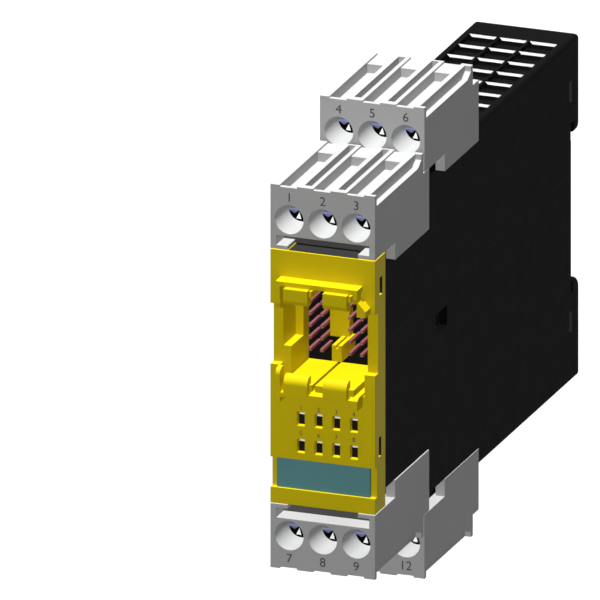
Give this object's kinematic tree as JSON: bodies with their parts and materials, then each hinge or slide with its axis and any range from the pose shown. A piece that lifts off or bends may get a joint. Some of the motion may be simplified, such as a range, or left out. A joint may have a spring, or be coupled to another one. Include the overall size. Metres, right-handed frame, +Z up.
{
  "type": "safety expansion module",
  "caption": "Narrow rail-mounted control module with a stepped black case, a yellow front with a plug bay, and grey screw terminal blocks above and below.",
  "frame": {"origin": "middle of the flat face that lies on the mounting rail, on the rail's centre line", "axes": "+Z up, -Y towards the front, X across the width"},
  "size_m": [0.0226, 0.1234, 0.1006],
  "materials": {
    "black_plastic": "fine moulded texture",
    "yellow_plastic": "smooth moulded",
    "grey_plastic": "fine moulded texture",
    "petrol_plate": "satin",
    "circuit_board": "solder mask",
    "capacitor_can": "drawn",
    "dark_resin": "moulded",
    "light_guide": "polished, smoky",
    "pale_sheet": "matt sheet",
    "copper_pin": "copper flash",
    "tinned_copper": "tin plated",
    "zinc_steel": "zinc plated, blue passivated"
  },
  "bodies": {
    "module": {"case": "black_plastic", "side_cover": "black_plastic", "front_cover": "yellow_plastic", "label_plate": "petrol_plate", "front_board": "circuit_board", "main_board": "circuit_board", "capacitors": "capacitor_can", "chips": "dark_resin", "light_guides": "light_guide", "status_lamps": "light_guide", "upper_baffle": "pale_sheet", "lower_baffle": "pale_sheet", "left_header": "dark_resin", "left_header_pins": "copper_pin", "right_header": "dark_resin", "right_header_pins": "copper_pin", "upper_front_sockets": "dark_resin", "upper_rear_block": "grey_plastic", "upper_rear_contacts": "tinned_copper", "upper_rear_sockets": "dark_resin", "lower_front_sockets": "dark_resin", "lower_rear_block": "grey_plastic", "lower_rear_contacts": "tinned_copper", "lower_rear_sockets": "dark_resin"},
    "upper_front_terminal": {"upper_front_block": "grey_plastic", "upper_front_contacts": "tinned_copper"},
    "upper_front_screw_1": {"upper_front_screw_1": "zinc_steel"},
    "upper_front_cage_1": {"upper_front_cage_1": "zinc_steel"},
    "upper_front_screw_2": {"upper_front_screw_2": "zinc_steel"},
    "upper_front_cage_2": {"upper_front_cage_2": "zinc_steel"},
    "upper_front_screw_3": {"upper_front_screw_3": "zinc_steel"},
    "upper_front_cage_3": {"upper_front_cage_3": "zinc_steel"},
    "upper_rear_screw_1": {"upper_rear_screw_1": "zinc_steel"},
    "upper_rear_cage_1": {"upper_rear_cage_1": "zinc_steel"},
    "upper_rear_screw_2": {"upper_rear_screw_2": "zinc_steel"},
    "upper_rear_cage_2": {"upper_rear_cage_2": "zinc_steel"},
    "upper_rear_screw_3": {"upper_rear_screw_3": "zinc_steel"},
    "upper_rear_cage_3": {"upper_rear_cage_3": "zinc_steel"},
    "lower_front_terminal": {"lower_front_block": "grey_plastic", "lower_front_contacts": "tinned_copper"},
    "lower_front_screw_1": {"lower_front_screw_1": "zinc_steel"},
    "lower_front_cage_1": {"lower_front_cage_1": "zinc_steel"},
    "lower_front_screw_2": {"lower_front_screw_2": "zinc_steel"},
    "lower_front_cage_2": {"lower_front_cage_2": "zinc_steel"},
    "lower_front_screw_3": {"lower_front_screw_3": "zinc_steel"},
    "lower_front_cage_3": {"lower_front_cage_3": "zinc_steel"},
    "lower_rear_screw_1": {"lower_rear_screw_1": "zinc_steel"},
    "lower_rear_cage_1": {"lower_rear_cage_1": "zinc_steel"},
    "lower_rear_screw_2": {"lower_rear_screw_2": "zinc_steel"},
    "lower_rear_cage_2": {"lower_rear_cage_2": "zinc_steel"},
    "lower_rear_screw_3": {"lower_rear_screw_3": "zinc_steel"},
    "lower_rear_cage_3": {"lower_rear_cage_3": "zinc_steel"}
  },
  "joints": [
    {"name": "upper_front_pull", "type": "slide", "parent": "module", "child": "upper_front_terminal", "axis": [0, -1, 0], "range_m": [0, 0.0055]},
    {"name": "upper_front_screw_1_turn", "type": "hinge", "parent": "upper_front_terminal", "child": "upper_front_screw_1", "pos_m": [-0.0072, -0.1069, 0.0338], "axis": [0, 1, 0], "range_deg": [0, 2160]},
    {"name": "upper_front_cage_1_slide", "type": "slide", "parent": "upper_front_terminal", "child": "upper_front_cage_1", "axis": [0, -1, 0], "range_m": [0, 0.003]},
    {"name": "upper_front_screw_2_turn", "type": "hinge", "parent": "upper_front_terminal", "child": "upper_front_screw_2", "pos_m": [0, -0.1069, 0.0338], "axis": [0, 1, 0], "range_deg": [0, 2160]},
    {"name": "upper_front_cage_2_slide", "type": "slide", "parent": "upper_front_terminal", "child": "upper_front_cage_2", "axis": [0, -1, 0], "range_m": [0, 0.003]},
    {"name": "upper_front_screw_3_turn", "type": "hinge", "parent": "upper_front_terminal", "child": "upper_front_screw_3", "pos_m": [0.0072, -0.1069, 0.0338], "axis": [0, 1, 0], "range_deg": [0, 2160]},
    {"name": "upper_front_cage_3_slide", "type": "slide", "parent": "upper_front_terminal", "child": "upper_front_cage_3", "axis": [0, -1, 0], "range_m": [0, 0.003]},
    {"name": "upper_rear_screw_1_turn", "type": "hinge", "parent": "module", "child": "upper_rear_screw_1", "pos_m": [-0.0072, -0.0781, 0.04315], "axis": [0, 1, 0], "range_deg": [0, 2160]},
    {"name": "upper_rear_cage_1_slide", "type": "slide", "parent": "module", "child": "upper_rear_cage_1", "axis": [0, -1, 0], "range_m": [0, 0.003]},
    {"name": "upper_rear_screw_2_turn", "type": "hinge", "parent": "module", "child": "upper_rear_screw_2", "pos_m": [0, -0.0781, 0.04315], "axis": [0, 1, 0], "range_deg": [0, 2160]},
    {"name": "upper_rear_cage_2_slide", "type": "slide", "parent": "module", "child": "upper_rear_cage_2", "axis": [0, -1, 0], "range_m": [0, 0.003]},
    {"name": "upper_rear_screw_3_turn", "type": "hinge", "parent": "module", "child": "upper_rear_screw_3", "pos_m": [0.0072, -0.0781, 0.04315], "axis": [0, 1, 0], "range_deg": [0, 2160]},
    {"name": "upper_rear_cage_3_slide", "type": "slide", "parent": "module", "child": "upper_rear_cage_3", "axis": [0, -1, 0], "range_m": [0, 0.003]},
    {"name": "lower_front_pull", "type": "slide", "parent": "module", "child": "lower_front_terminal", "axis": [0, -1, 0], "range_m": [0, 0.0055]},
    {"name": "lower_front_screw_1_turn", "type": "hinge", "parent": "lower_front_terminal", "child": "lower_front_screw_1", "pos_m": [-0.0072, -0.1069, -0.0338], "axis": [0, 1, 0], "range_deg": [0, 2160]},
    {"name": "lower_front_cage_1_slide", "type": "slide", "parent": "lower_front_terminal", "child": "lower_front_cage_1", "axis": [0, -1, 0], "range_m": [0, 0.003]},
    {"name": "lower_front_screw_2_turn", "type": "hinge", "parent": "lower_front_terminal", "child": "lower_front_screw_2", "pos_m": [0, -0.1069, -0.0338], "axis": [0, 1, 0], "range_deg": [0, 2160]},
    {"name": "lower_front_cage_2_slide", "type": "slide", "parent": "lower_front_terminal", "child": "lower_front_cage_2", "axis": [0, -1, 0], "range_m": [0, 0.003]},
    {"name": "lower_front_screw_3_turn", "type": "hinge", "parent": "lower_front_terminal", "child": "lower_front_screw_3", "pos_m": [0.0072, -0.1069, -0.0338], "axis": [0, 1, 0], "range_deg": [0, 2160]},
    {"name": "lower_front_cage_3_slide", "type": "slide", "parent": "lower_front_terminal", "child": "lower_front_cage_3", "axis": [0, -1, 0], "range_m": [0, 0.003]},
    {"name": "lower_rear_screw_1_turn", "type": "hinge", "parent": "module", "child": "lower_rear_screw_1", "pos_m": [-0.0072, -0.0781, -0.04315], "axis": [0, 1, 0], "range_deg": [0, 2160]},
    {"name": "lower_rear_cage_1_slide", "type": "slide", "parent": "module", "child": "lower_rear_cage_1", "axis": [0, -1, 0], "range_m": [0, 0.003]},
    {"name": "lower_rear_screw_2_turn", "type": "hinge", "parent": "module", "child": "lower_rear_screw_2", "pos_m": [0, -0.0781, -0.04315], "axis": [0, 1, 0], "range_deg": [0, 2160]},
    {"name": "lower_rear_cage_2_slide", "type": "slide", "parent": "module", "child": "lower_rear_cage_2", "axis": [0, -1, 0], "range_m": [0, 0.003]},
    {"name": "lower_rear_screw_3_turn", "type": "hinge", "parent": "module", "child": "lower_rear_screw_3", "pos_m": [0.0072, -0.0781, -0.04315], "axis": [0, 1, 0], "range_deg": [0, 2160]},
    {"name": "lower_rear_cage_3_slide", "type": "slide", "parent": "module", "child": "lower_rear_cage_3", "axis": [0, -1, 0], "range_m": [0, 0.003]}
  ],
  "couplings": [
    {"joint": "upper_front_screw_1_turn", "follows": "upper_front_cage_1_slide", "rad_per_m": 12566},
    {"joint": "upper_front_screw_2_turn", "follows": "upper_front_cage_2_slide", "rad_per_m": 12566},
    {"joint": "upper_front_screw_3_turn", "follows": "upper_front_cage_3_slide", "rad_per_m": 12566},
    {"joint": "upper_rear_screw_1_turn", "follows": "upper_rear_cage_1_slide", "rad_per_m": 12566},
    {"joint": "upper_rear_screw_2_turn", "follows": "upper_rear_cage_2_slide", "rad_per_m": 12566},
    {"joint": "upper_rear_screw_3_turn", "follows": "upper_rear_cage_3_slide", "rad_per_m": 12566},
    {"joint": "lower_front_screw_1_turn", "follows": "lower_front_cage_1_slide", "rad_per_m": 12566},
    {"joint": "lower_front_screw_2_turn", "follows": "lower_front_cage_2_slide", "rad_per_m": 12566},
    {"joint": "lower_front_screw_3_turn", "follows": "lower_front_cage_3_slide", "rad_per_m": 12566},
    {"joint": "lower_rear_screw_1_turn", "follows": "lower_rear_cage_1_slide", "rad_per_m": 12566},
    {"joint": "lower_rear_screw_2_turn", "follows": "lower_rear_cage_2_slide", "rad_per_m": 12566},
    {"joint": "lower_rear_screw_3_turn", "follows": "lower_rear_cage_3_slide", "rad_per_m": 12566}
  ]
}
